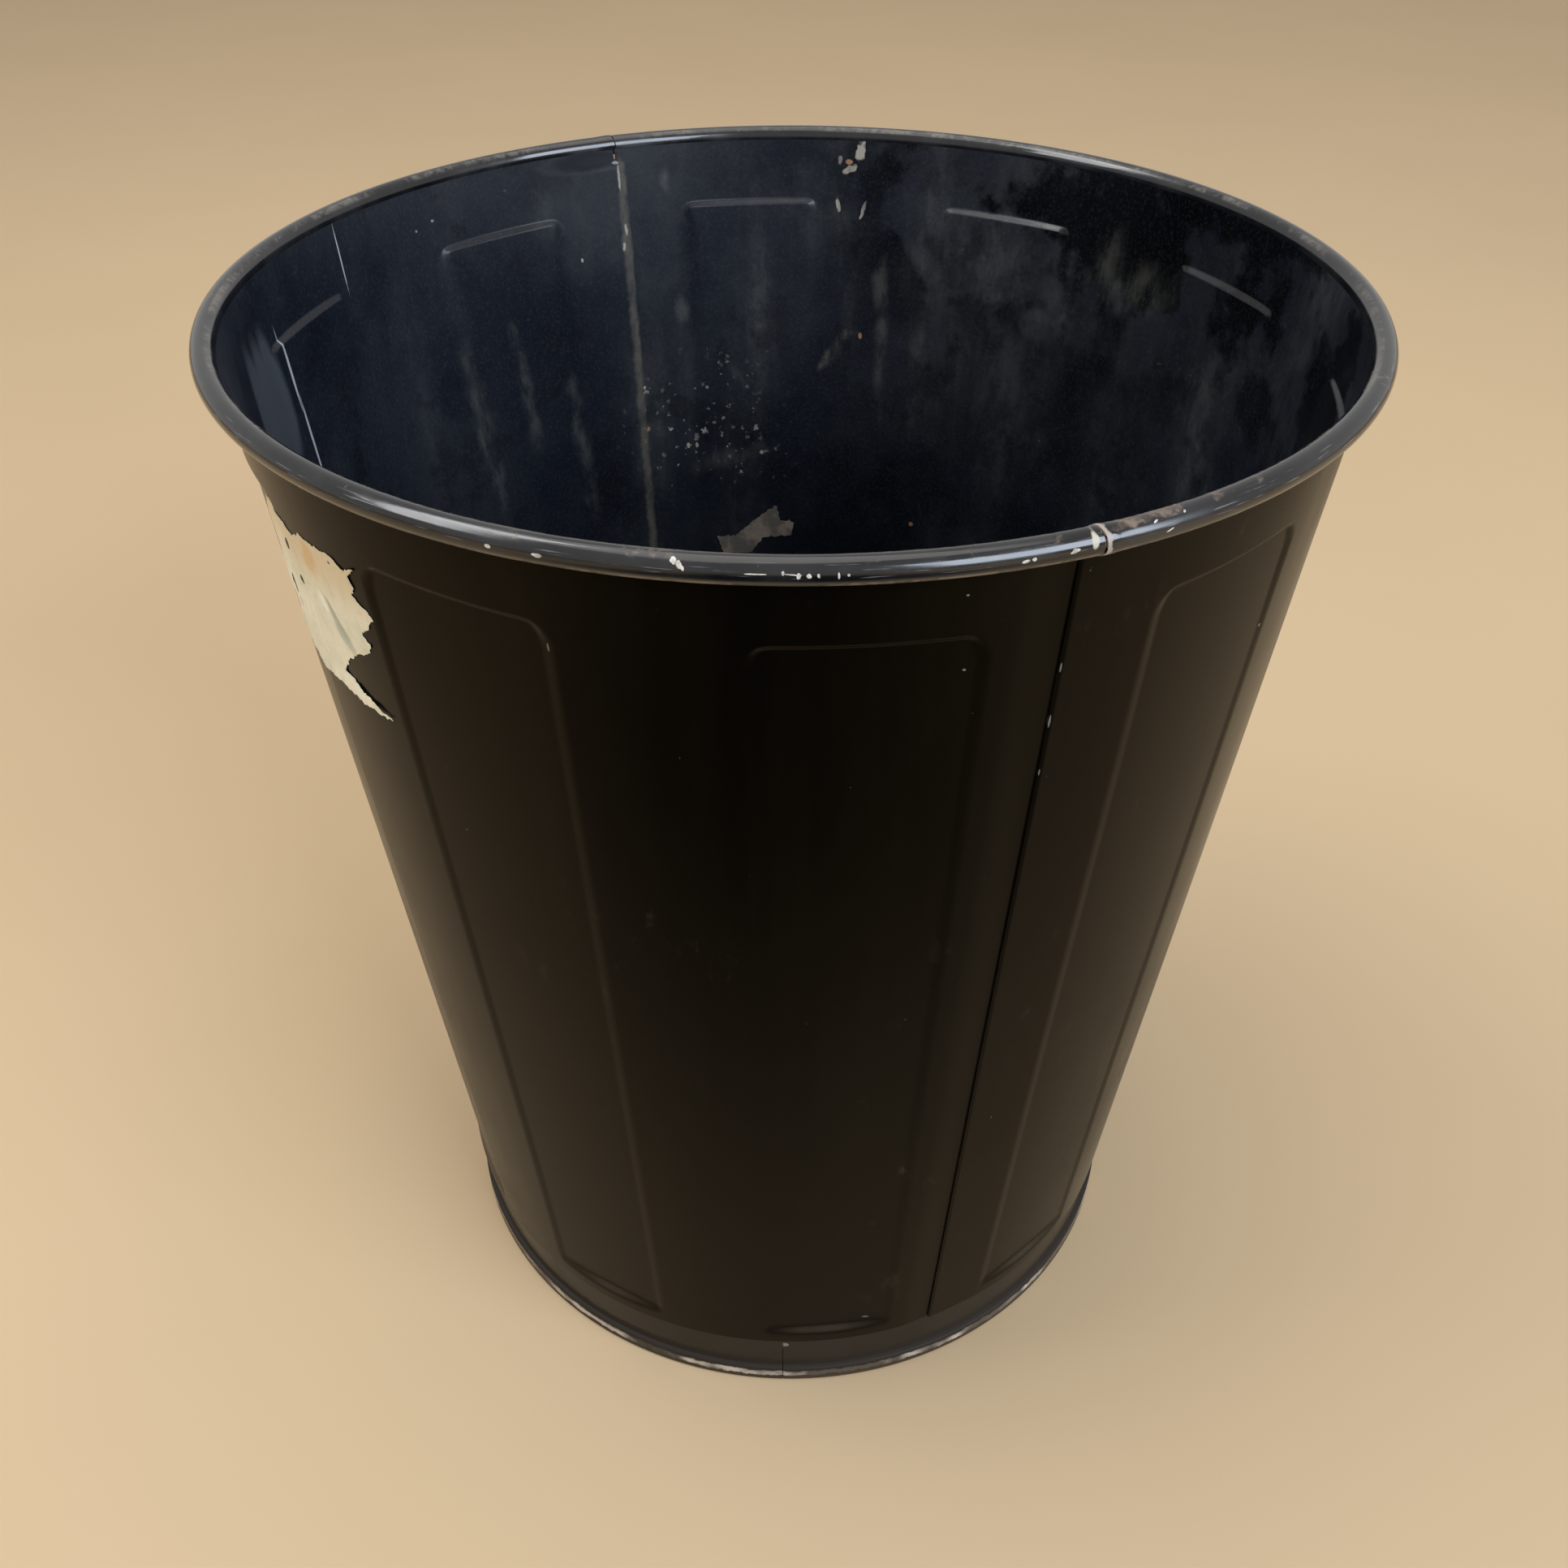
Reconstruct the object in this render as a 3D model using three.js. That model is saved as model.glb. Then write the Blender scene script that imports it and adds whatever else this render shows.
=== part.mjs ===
// Round tapered waste can of black painted sheet steel, open at the top.
//
// The body is two half shells, lapped and spot-welded down two opposite seams. Ten upright panels
// are pressed into it, and its top edge is rolled outward round a wire. A base hoop with a hemmed
// foot closes the bottom and holds a recessed pan. Two torn paper labels are left on the paint.
//
// Millimetres, +Z up. The origin is on the floor under the middle of the can, the front is -Y.
// An azimuth is in degrees round the can: 0 at the front, 90 on the +X side.

import * as THREE from 'three';

// --- driving dimensions ----------------------------------------------------------------------

const SHEET = 0.7; // steel thickness
const GAP = 0.3; // clearance left between touching pieces

const RIM_RADIUS = 164.2; // centre circle of the rolled rim
const RIM_HEIGHT = 354.8; // height of that circle
const BEAD_RADIUS = 3.4; // outside of the rolled rim
const WIRE_RADIUS = 2.1; // wire inside the rolled rim
const CURL_START = 174; // degrees round the bead section where the wall runs into it
const CURL_END = -125; // degrees where the free edge of the sheet stops
const CURL_STEPS = 8;

const WALL_FLOOR_RADIUS = 126.3; // outside of the tapered wall, carried down to the floor
const WALL_RIM_RADIUS = RIM_RADIUS - BEAD_RADIUS + SHEET; // and at the height of the rim
const WALL_BOTTOM = 25; // lower edge of the body, lapped over the hoop

const FULL_TURN = 360;
const PANEL_COUNT = 10;
const PANEL_PITCH = FULL_TURN / PANEL_COUNT;
const FIRST_PANEL = 6; // azimuth of the panel at the front
const PANEL_HALF_ANGLE = 10.5;
const BEVEL_FOOT_ANGLE = 9.65; // from the middle of a panel to the foot of its sloping side
const CORNER_ANGLE = 8.6; // and to where its upper corners have begun to turn
const PANEL_BOTTOM = 29;
const PANEL_TOP = 333.3;
const PANEL_DEPTH = 1.0; // at the sides of a panel
const PANEL_FLATTENING = 0.8; // further in along its middle, where it is flatter than the wall
const SIDE_BEVEL = 2.0; // width of the sloping side of a panel
const FOOT_BEVEL = 6.5; // height of the sloping foot of a panel
const CORNER_RADIUS = 5; // upper corners of a panel

// The right shell lies outside at both seams. Each shell's rim stops at a butt joint of its own.
const FRONT_SEAM = { rightEdge: 22.8, leftEdge: 26, rightRim: 23.55, leftRim: 23.35 };
const BACK_SEAM = { rightEdge: 206, leftEdge: 202.9, rightRim: 204.1, leftRim: 204.3 };
const SEAM_OFFSET = SHEET + GAP; // how far the left shell is set inward under the right one
const NOTCH_HEIGHT = 345; // above this the laps are cut back to the rim joints
const NOTCH_STEP = 1;
const LAP_RETURN = 350.5; // above this the left shell is back in line
const LAP_MARGIN = 0.3; // degrees that the set-in part reaches past the edge of the right shell
const LAP_RAMP = 4.5; // degrees over which the left shell steps inward

const HOOP_RADIUS = 126.8; // outside of the base hoop
const HOOP_TOP = 42;
const HOOP_JOINT = -0.9; // azimuth where the ends of the hoop meet
const HOOP_JOINT_ANGLE = 0.24; // width of the joint
const HEM_RADIUS = 128.4; // rolled foot of the hoop
const HEM_TOP = 7.4;
const LIP_RADIUS = 124.7; // inner edge of the lip that clinches the pan
const LIP_HEIGHT = 1.3;

const PAN_HEIGHT = 13; // top of the recessed bottom pan
const PAN_FLANGE_BOTTOM = 1.7;
const PAN_CORNER = 4;

const PAPER = 0.25; // thickness of the labels

const WIDEST_COLUMN = 5.2; // degrees between the facets of a shell
const TURNED_SEGMENTS = 72; // facets round a full ring

// --- shared geometry --------------------------------------------------------------------------

/** Point at a radius, an azimuth in degrees and a height. */
function onCircle(radius, azimuth, height) {
  const angle = THREE.MathUtils.degToRad(azimuth);
  return new THREE.Vector3(radius * Math.sin(angle), -radius * Math.cos(angle), height);
}

/** Radius of the outside of the plain tapered wall. */
function wallRadius(height) {
  return THREE.MathUtils.mapLinear(height, 0, RIM_HEIGHT, WALL_FLOOR_RADIUS, WALL_RIM_RADIUS);
}

/** Clamped straight ramp from 0 at `from` to 1 at `to`. */
function ramp(value, from, to) {
  return THREE.MathUtils.clamp((value - from) / (to - from), 0, 1);
}

/** How far the wall is pressed inward by the panel nearest to an azimuth. */
function panelPress(azimuth, height) {
  const offset = azimuth - FIRST_PANEL;
  const fromCentre = Math.abs(offset - PANEL_PITCH * Math.round(offset / PANEL_PITCH));
  const radians = THREE.MathUtils.degToRad(PANEL_HALF_ANGLE - fromCentre);
  const fromSide = radians * wallRadius(height);
  const fromTop = PANEL_TOP - height;
  let inside = Math.min(fromSide, fromTop);
  if (fromSide < CORNER_RADIUS && fromTop < CORNER_RADIUS) {
    inside = CORNER_RADIUS - Math.hypot(CORNER_RADIUS - fromSide, CORNER_RADIUS - fromTop);
  }
  const fromFoot = ramp(height, PANEL_BOTTOM, PANEL_BOTTOM + FOOT_BEVEL);
  const flattening = PANEL_FLATTENING * (1 - (fromCentre / PANEL_HALF_ANGLE) ** 2);
  return (PANEL_DEPTH + flattening) * Math.min(ramp(inside, 0, SIDE_BEVEL), fromFoot);
}

/**
 * Closed solid of a bent sheet. point(column, row, side) places its corners: columns run
 * anticlockwise seen from above, rows run upward, side 0 faces the axis and side 1 faces out.
 */
function sheetGeometry(columns, rows, point) {
  const corner = (side, column, row) => (side * columns + column) * rows + row;
  const positions = [];
  for (let side = 0; side < 2; side++) {
    for (let column = 0; column < columns; column++) {
      for (let row = 0; row < rows; row++) {
        positions.push(...point(column, row, side).toArray());
      }
    }
  }

  const triangles = [];
  const quad = (a, b, c, d) => triangles.push(a, b, c, a, c, d);
  for (let column = 0; column + 1 < columns; column++) {
    for (let row = 0; row + 1 < rows; row++) {
      for (const side of [0, 1]) {
        const [a, b, c, d] = [
          corner(side, column, row),
          corner(side, column + 1, row),
          corner(side, column + 1, row + 1),
          corner(side, column, row + 1),
        ];
        // both sides are split from a to c, so the sheet keeps its thickness where it twists
        quad(...(side === 1 ? [a, b, c, d] : [a, d, c, b]));
      }
    }
  }
  const strip = (steps, first, second) => {
    for (let step = 0; step < steps; step++) {
      quad(first(step), second(step), second(step + 1), first(step + 1));
    }
  };
  const top = rows - 1;
  const end = columns - 1;
  strip(columns - 1, (i) => corner(1, i, 0), (i) => corner(0, i, 0));
  strip(columns - 1, (i) => corner(0, i, top), (i) => corner(1, i, top));
  strip(rows - 1, (i) => corner(0, 0, i), (i) => corner(1, 0, i));
  strip(rows - 1, (i) => corner(1, end, i), (i) => corner(0, end, i));

  const geometry = new THREE.BufferGeometry();
  geometry.setAttribute('position', new THREE.Float32BufferAttribute(positions, 3));
  geometry.setIndex(triangles);
  geometry.computeVertexNormals();
  return geometry;
}

/** Solid of revolution about Z from a closed outline of [radius, height] pairs. */
function turnedGeometry(outline) {
  const points = outline.map(([radius, height]) => new THREE.Vector2(radius, height));
  return new THREE.LatheGeometry(points, TURNED_SEGMENTS).rotateX(Math.PI / 2);
}

const group = new THREE.Group();

function addPiece(name, geometry, look) {
  const material = new THREE.MeshStandardMaterial({ flatShading: true, ...look });
  const mesh = new THREE.Mesh(geometry, material);
  mesh.name = name;
  group.add(mesh);
}

const BLACK_PAINT = { color: 0x16130f, roughness: 0.32, metalness: 0 };
const INNER_PAINT = { color: 0x14141a, roughness: 0.28, metalness: 0 };
const BARE_WIRE = { color: 0x6f6a63, roughness: 0.5, metalness: 1 };
const AGED_PAPER = { color: 0xd9cfae, roughness: 0.85, metalness: 0 };

// --- body shells --------------------------------------------------------------------------------

/** Heights of the rows of the wall. The rows of the curl come after them. */
function wallHeights() {
  return [
    WALL_BOTTOM,
    PANEL_BOTTOM,
    PANEL_BOTTOM + FOOT_BEVEL,
    PANEL_TOP - CORNER_RADIUS,
    PANEL_TOP - CORNER_RADIUS / 2,
    PANEL_TOP - SIDE_BEVEL,
    PANEL_TOP,
    NOTCH_HEIGHT,
    NOTCH_HEIGHT + NOTCH_STEP,
    LAP_RETURN,
  ];
}

/** Azimuths of the columns that the edges and corners of one panel need. */
function panelStops(centre) {
  const left = [PANEL_HALF_ANGLE, BEVEL_FOOT_ANGLE, CORNER_ANGLE].map((angle) => centre - angle);
  const right = [CORNER_ANGLE, BEVEL_FOOT_ANGLE, PANEL_HALF_ANGLE].map((angle) => centre + angle);
  return [...left, ...right];
}

/** All the columns of a shell: its stops, with even steps between them. */
function fillColumns(stops) {
  const columns = [stops[0]];
  for (const stop of stops.slice(1)) {
    const start = columns.at(-1);
    const steps = Math.ceil((stop - start) / WIDEST_COLUMN);
    for (let step = 1; step <= steps; step++) {
      columns.push(THREE.MathUtils.lerp(start, stop, step / steps));
    }
  }
  return columns;
}

/**
 * Half shell with its panels, rolled rim and seam edges. first and last say where the wall and
 * the rim begin and end, and setIn how far an azimuth lies inside the other shell, from 0 to 1.
 */
function shellGeometry(panels, first, last, seamStops, setIn) {
  const stops = [first.wall, ...panels.flatMap(panelStops), ...seamStops, last.wall];
  const columns = fillColumns(stops.sort((a, b) => a - b));
  const heights = wallHeights();
  const rows = heights.length + CURL_STEPS + 1;

  return sheetGeometry(columns.length, rows, (column, row, side) => {
    const onWall = row < heights.length;
    const height = onWall ? heights[row] : RIM_HEIGHT;
    const underNotch = height <= NOTCH_HEIGHT;
    let azimuth = columns[column];
    if (!underNotch && column === 0) azimuth = first.rim;
    if (!underNotch && column === columns.length - 1) azimuth = last.rim;

    if (onWall) {
      const lap = setIn(azimuth) * (1 - ramp(height, NOTCH_HEIGHT + NOTCH_STEP, LAP_RETURN));
      const outside = wallRadius(height) - panelPress(azimuth, height) - lap * SEAM_OFFSET;
      return onCircle(outside - (side === 0 ? SHEET : 0), azimuth, height);
    }
    const turn = (row - heights.length) / CURL_STEPS;
    const angle = THREE.MathUtils.degToRad(THREE.MathUtils.lerp(CURL_START, CURL_END, turn));
    const radius = BEAD_RADIUS - (side === 1 ? SHEET : 0);
    return onCircle(
      RIM_RADIUS + radius * Math.cos(angle),
      azimuth,
      RIM_HEIGHT + radius * Math.sin(angle),
    );
  });
}

const PANELS_PER_SHELL = PANEL_COUNT / 2;
const panelCentre = (number) => FIRST_PANEL + number * PANEL_PITCH;
const rightPanels = [];
const leftPanels = [];
for (let number = 1; number <= PANELS_PER_SHELL; number++) {
  rightPanels.push(panelCentre(number));
  leftPanels.push(panelCentre(number + PANELS_PER_SHELL));
}

const rightShell = shellGeometry(
  rightPanels,
  { wall: FRONT_SEAM.rightEdge, rim: FRONT_SEAM.rightRim },
  { wall: BACK_SEAM.rightEdge, rim: BACK_SEAM.rightRim },
  [],
  () => 0,
);
addPiece('right_shell', rightShell, BLACK_PAINT);

// The left shell runs on past a full turn to the front seam, and steps inward at both its laps.
const backLap = BACK_SEAM.rightEdge + LAP_MARGIN;
const frontLap = FULL_TURN + FRONT_SEAM.rightEdge - LAP_MARGIN;
const leftShell = shellGeometry(
  leftPanels,
  { wall: BACK_SEAM.leftEdge, rim: BACK_SEAM.leftRim },
  { wall: FULL_TURN + FRONT_SEAM.leftEdge, rim: FULL_TURN + FRONT_SEAM.leftRim },
  [backLap, backLap + LAP_RAMP, frontLap - LAP_RAMP, frontLap],
  (azimuth) => Math.max(
    1 - ramp(azimuth, backLap, backLap + LAP_RAMP),
    ramp(azimuth, frontLap - LAP_RAMP, frontLap),
  ),
);
addPiece('left_shell', leftShell, BLACK_PAINT);

// --- rim wire -----------------------------------------------------------------------------------

const WIRE_SIDES = 8;
const wireOutline = [];
for (let side = 0; side <= WIRE_SIDES; side++) {
  const angle = (2 * Math.PI * (side % WIRE_SIDES)) / WIRE_SIDES;
  wireOutline.push([
    RIM_RADIUS + WIRE_RADIUS * Math.cos(angle),
    RIM_HEIGHT + WIRE_RADIUS * Math.sin(angle),
  ]);
}
addPiece('rim_wire', turnedGeometry(wireOutline), BARE_WIRE);

// --- base hoop ----------------------------------------------------------------------------------

// Outer and inner outlines of the hoop, from the lip under the pan up to its top edge.
const hoopOutside = [
  [LIP_RADIUS + 1.6, 0],
  [HEM_RADIUS - 0.6, 0],
  [HEM_RADIUS, 1],
  [HEM_RADIUS, HEM_TOP - 1],
  [HOOP_RADIUS, HEM_TOP],
  [HOOP_RADIUS, HOOP_TOP],
];
const hoopInside = [
  [LIP_RADIUS, 0],
  [LIP_RADIUS, LIP_HEIGHT],
  [HOOP_RADIUS - SHEET, LIP_HEIGHT],
  [HOOP_RADIUS - SHEET, HEM_TOP - 1],
  [HOOP_RADIUS - SHEET, HEM_TOP],
  [HOOP_RADIUS - SHEET, HOOP_TOP],
];
const hoopStart = HOOP_JOINT + HOOP_JOINT_ANGLE / 2;
const hoopSweep = FULL_TURN - HOOP_JOINT_ANGLE;
const hoop = sheetGeometry(TURNED_SEGMENTS + 1, hoopOutside.length, (column, row, side) => {
  const [radius, height] = side === 1 ? hoopOutside[row] : hoopInside[row];
  return onCircle(radius, hoopStart + (hoopSweep * column) / TURNED_SEGMENTS, height);
});
addPiece('base_hoop', hoop, BLACK_PAINT);

// --- bottom pan ---------------------------------------------------------------------------------

const flangeRadius = HOOP_RADIUS - SHEET - GAP;
const panOutline = [
  [0, PAN_HEIGHT - SHEET],
  [flangeRadius - PAN_CORNER, PAN_HEIGHT - SHEET],
  [flangeRadius - SHEET, PAN_HEIGHT - PAN_CORNER],
  [flangeRadius - SHEET, PAN_FLANGE_BOTTOM],
  [flangeRadius, PAN_FLANGE_BOTTOM],
  [flangeRadius, PAN_HEIGHT - PAN_CORNER],
  [flangeRadius - PAN_CORNER + SHEET / 2, PAN_HEIGHT],
  [0, PAN_HEIGHT],
];
addPiece('bottom_pan', turnedGeometry(panOutline), INNER_PAINT);

// --- torn paper labels --------------------------------------------------------------------------

/**
 * Paper stuck to the wall. outline lists [height, left azimuth, right azimuth] up the label, and
 * outward says whether it is on the outside of the wall or the inside. Outside it spans the side
 * of a panel, and inside it lies in one.
 */
function labelGeometry(outline, columns, outward) {
  return sheetGeometry(columns, outline.length, (column, row, side) => {
    const [height, left, right] = outline[row];
    const azimuth = THREE.MathUtils.lerp(left, right, column / (columns - 1));
    const inside = wallRadius(height) - panelPress(azimuth, height) - SHEET;
    const back = outward ? wallRadius(height) + GAP : inside - GAP - PAPER;
    return onCircle(back + side * PAPER, azimuth, height);
  });
}

const outsideLabel = [
  [284, -57.5, -53],
  [289, -58.5, -47.5],
  [304, -58, -42.4],
  [316, -57.6, -40.9],
  [320, -57.4, -42.2],
  [328, -56.8, -41.2],
];
addPiece('outside_label_remnant', labelGeometry(outsideLabel, 15, true), AGED_PAPER);

const insideLabel = [
  [190, 187.2, 192],
  [198, 180.3, 193],
  [203.5, 179.6, 188.5],
  [211.5, 182.4, 184],
];
addPiece('inside_label_remnant', labelGeometry(insideLabel, 6, false), AGED_PAPER);

export default group;
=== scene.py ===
"""Looks of the round tapered waste can: old black paint on pressed sheet steel.

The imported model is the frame. Its pieces are rebuilt here as finer meshes that stay inside it and
stand in for the plain ones. Sizes below are in millimetres and azimuths in degrees round the can,
0 at the front (-Y) and 90 on the +X side. Blender's own lengths are metres.
"""

import math
import random

import bpy
import numpy as np
from mathutils import Euler, Matrix, Quaternion, Vector
from mathutils.geometry import delaunay_2d_cdt


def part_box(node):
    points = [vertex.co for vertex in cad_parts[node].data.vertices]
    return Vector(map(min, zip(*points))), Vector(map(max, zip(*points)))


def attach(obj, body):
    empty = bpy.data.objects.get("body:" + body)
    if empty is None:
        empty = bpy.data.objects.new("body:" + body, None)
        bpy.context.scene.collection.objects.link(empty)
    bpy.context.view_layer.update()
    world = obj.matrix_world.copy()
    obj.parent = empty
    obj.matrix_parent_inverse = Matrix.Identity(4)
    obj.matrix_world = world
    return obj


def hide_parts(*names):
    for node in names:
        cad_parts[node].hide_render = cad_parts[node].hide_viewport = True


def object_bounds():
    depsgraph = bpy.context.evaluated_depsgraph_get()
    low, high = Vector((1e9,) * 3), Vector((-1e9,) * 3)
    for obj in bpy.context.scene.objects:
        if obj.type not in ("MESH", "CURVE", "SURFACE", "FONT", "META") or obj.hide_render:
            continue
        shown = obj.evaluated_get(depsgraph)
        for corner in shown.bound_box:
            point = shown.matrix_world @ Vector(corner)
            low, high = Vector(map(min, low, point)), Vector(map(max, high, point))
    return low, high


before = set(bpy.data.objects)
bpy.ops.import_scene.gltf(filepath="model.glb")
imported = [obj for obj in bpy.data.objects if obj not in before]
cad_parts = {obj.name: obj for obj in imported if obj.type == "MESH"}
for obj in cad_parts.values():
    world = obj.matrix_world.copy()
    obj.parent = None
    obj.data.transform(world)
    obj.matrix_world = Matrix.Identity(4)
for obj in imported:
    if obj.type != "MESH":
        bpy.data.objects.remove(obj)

MM = 0.001
FULL_TURN = 360.0

# --- sizes ---------------------------------------------------------------------------------------

cad_low, cad_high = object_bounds()
shell_low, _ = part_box("right_shell")
_, hoop_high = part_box("base_hoop")
_, pan_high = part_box("bottom_pan")

CLEARANCE = 0.3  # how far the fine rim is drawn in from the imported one; its lips use part of it
CAN_HEIGHT = cad_high.z / MM - CLEARANCE
RIM_OUTSIDE = min(cad_high.x, cad_high.y, -cad_low.x, -cad_low.y) / MM - CLEARANCE
BEAD_RADIUS = 3.3
RIM_RADIUS = RIM_OUTSIDE - BEAD_RADIUS
RIM_HEIGHT = CAN_HEIGHT - BEAD_RADIUS
SHEET = 0.7
CURL_START = 174
CURL_END = -125

WALL_FLOOR_RADIUS = 126.3
WALL_RIM_RADIUS = RIM_RADIUS - BEAD_RADIUS + SHEET
WALL_BOTTOM = shell_low.z / MM

PANEL_COUNT = 10
PANEL_PITCH = FULL_TURN / PANEL_COUNT
FIRST_PANEL = 6
PANEL_HALF_ANGLE = 10.5
PANEL_BOTTOM = 29
PANEL_TOP = 333.3
PANEL_DEPTH = 0.3  # at the sides of a panel
PANEL_FLATTENING = 0.9  # further in along its middle
TOP_DEPTH = 0.25  # further in near its top
INNER_TOP_DEPTH = 0.5
TOP_RAMP = 40
SIDE_BEVEL = 4.2
INNER_SIDE_BEVEL = 10
TOP_BEVEL = 1.9
FOOT_BEVEL = 6.5
CORNER_RADIUS = 8
FOOT_CORNER_RADIUS = 3.5

FRONT_SEAM = {"right": 22.8, "left": 26.0, "joint": 23.05}
BACK_SEAM = {"right": 206.0, "left": 202.9, "joint": 204.2}
SEAM_OFFSET = 0.73
EDGE_ROUNDING = 0.3
JOINT_HALF_GAP = 0.08
JOINT_BEND = 0.3
JOINT_BEND_LENGTH = math.radians(JOINT_BEND) * RIM_RADIUS * MM
JOINT_LIP = 0.2
NOTCH_HEIGHT = 349.4  # where the overlap of the shells ends below the rim
LAP_RETURN = 352.3
LAP_RAMP = 4.5
STRIP_FACING = 28.0
STRIP_BOW = 90
WAVE_DEPTH = 0.16

HOOP_RADIUS = 126.8
HOOP_TOP = hoop_high.z / MM
HOOP_JOINT = -0.9
HEM_RADIUS = 128.35
HEM_TOP = 7.4
LIP_RADIUS = 124.7
PAN_TOP = pan_high.z / MM
PAN_RADIUS = pan_high.x / MM
PAN_FLAT_RADIUS = 118
PAN_SAG = 0.25
PAPER_THICKNESS = 0.16
PAPER_RADIUS = 150  # about the wall's radius at the labels
TEAR_STEP = 0.7
TEAR_JITTER = 0.24
PAPER_PITCH = 1.1


def on_circle(radius, azimuth, height):
    """Points in metres from radii, azimuths and heights, which may be arrays."""
    angle = np.radians(azimuth)
    parts = np.broadcast_arrays(radius * np.sin(angle), -radius * np.cos(angle), height)
    return MM * np.stack(parts, axis=-1)


def smooth(value, start, stop):
    """Smooth ramp from 0 at start to 1 at stop."""
    t = np.clip((value - start) / (stop - start), 0, 1)
    return t * t * (3 - 2 * t)


def wall_radius(height):
    return WALL_FLOOR_RADIUS + (WALL_RIM_RADIUS - WALL_FLOOR_RADIUS) * height / RIM_HEIGHT


def panel_press(azimuth, height, inner=False):
    """How far the nearest panel is pressed in. The inner face has softer sides and a deeper top
    than the outer one, so the sheet is not quite even in thickness there."""
    side_bevel = INNER_SIDE_BEVEL if inner else SIDE_BEVEL
    offset = azimuth - FIRST_PANEL
    from_centre = np.abs(offset - PANEL_PITCH * np.round(offset / PANEL_PITCH))
    from_side = np.radians(PANEL_HALF_ANGLE - from_centre) * wall_radius(height)
    from_top = PANEL_TOP - height
    from_foot = (height - PANEL_BOTTOM) * side_bevel / FOOT_BEVEL
    bevel = side_bevel + (TOP_BEVEL - side_bevel) * smooth(from_side - from_top, -3, 5)

    def corner(first, second, radius):
        round_in = radius - np.hypot(radius - first, radius - second)
        return np.where((first < radius) & (second < radius), round_in, np.minimum(first, second))

    inside = np.minimum(
        corner(from_side, from_top, CORNER_RADIUS),
        corner(from_side, from_foot, FOOT_CORNER_RADIUS),
    )
    flattening = PANEL_FLATTENING * (1 - (from_centre / PANEL_HALF_ANGLE) ** 2)
    top_depth = INNER_TOP_DEPTH if inner else TOP_DEPTH
    depth = PANEL_DEPTH + top_depth * smooth(height, PANEL_TOP - TOP_RAMP, PANEL_TOP)
    return (depth + flattening) * smooth(inside, 0, bevel)


def unevenness(azimuth, height):
    """Slight waves that pressing and years of use leave in the sheet."""
    source = random.Random(5)
    total = 0
    for order in (2, 3, 5, 8, 11, 17):
        phase = source.uniform(0, 2 * math.pi)
        drift = source.uniform(-1, 1) * 0.03
        total = total + np.sin(np.radians(azimuth) * order + height * drift + phase) / order
    return WAVE_DEPTH * total


# --- meshes --------------------------------------------------------------------------------------


def mesh_object(name, vertices, faces, materials, slots=None, sharp=40):
    """Object from vertices and faces, with smooth shading broken at sharp edges."""
    mesh = bpy.data.meshes.new(name)
    mesh.from_pydata([tuple(v) for v in vertices], [], faces)
    for material in materials:
        mesh.materials.append(material)
    if slots is not None:
        mesh.polygons.foreach_set("material_index", slots)
    mesh.polygons.foreach_set("use_smooth", [True] * len(faces))
    mesh.set_sharp_from_angle(angle=math.radians(sharp))
    mesh.update()
    made = bpy.data.objects.new(name, mesh)
    bpy.context.scene.collection.objects.link(made)
    return made


def sheet_faces(columns, rows, slot_of):
    """Quads of a closed bent sheet, and the material slot of each. slot_of(side, row) names it;
    side None is a cut edge. Vertices run side by side, column by column, row by row."""
    faces = []
    slots = []

    def corner(side, column, row):
        return (side * columns + column) * rows + row

    def quad(ring, slot):
        faces.append(ring)
        slots.append(slot)

    for column in range(columns - 1):
        for row in range(rows - 1):
            for side in (0, 1):
                ring = [
                    corner(side, column, row),
                    corner(side, column + 1, row),
                    corner(side, column + 1, row + 1),
                    corner(side, column, row + 1),
                ]
                quad(ring if side else ring[::-1], slot_of(side, row))
    top = rows - 1
    end = columns - 1
    for i in range(columns - 1):
        bottom_ring = [corner(1, i, 0), corner(0, i, 0), corner(0, i + 1, 0), corner(1, i + 1, 0)]
        top_ring = [corner(0, i, top), corner(1, i, top), corner(1, i + 1, top), corner(0, i + 1, top)]
        quad(bottom_ring, slot_of(None, 0))
        quad(top_ring, slot_of(None, top))
    for i in range(rows - 1):
        first_ring = [corner(0, 0, i), corner(1, 0, i), corner(1, 0, i + 1), corner(0, 0, i + 1)]
        last_ring = [corner(1, end, i), corner(0, end, i), corner(0, end, i + 1), corner(1, end, i + 1)]
        quad(first_ring, slot_of(None, i))
        quad(last_ring, slot_of(None, i))
    return faces, slots


def stepped(*stretches):
    """Numbers along stretches given as (start, stop, step), with the last stop."""
    values = []
    for start, stop, step in stretches:
        count = max(1, round((stop - start) / step))
        values.extend(start + (stop - start) * i / count for i in range(count))
    return np.array(values + [stretches[-1][1]])


def panel_stretches(centre):
    """Columns across one panel, close together on its sloping sides."""
    half = [(0, 5, 1.25), (5, 7.6, 0.6), (7.6, 8.8, 0.3), (8.8, 10.6, 0.12)]
    right = [(centre + start, centre + stop, step) for start, stop, step in half]
    left = [(centre - stop, centre - start, step) for start, stop, step in reversed(half)]
    return left + right


def shell_columns(first, last, centres, fine):
    """All columns of a shell. fine lists (start, stop) stretches at the seams."""
    stretches = []
    here = first
    for centre in centres:
        panel = panel_stretches(centre)
        stretches.append((here, panel[0][0], 0.9))
        stretches += panel
        here = panel[-1][1]
    stretches.append((here, last, 0.9))
    columns = stepped(*stretches)
    for start, stop in fine:
        kept = columns[(columns < start) | (columns > stop)]
        columns = np.sort(np.concatenate([kept, np.linspace(start, stop, 15)]))
    return columns


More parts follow.
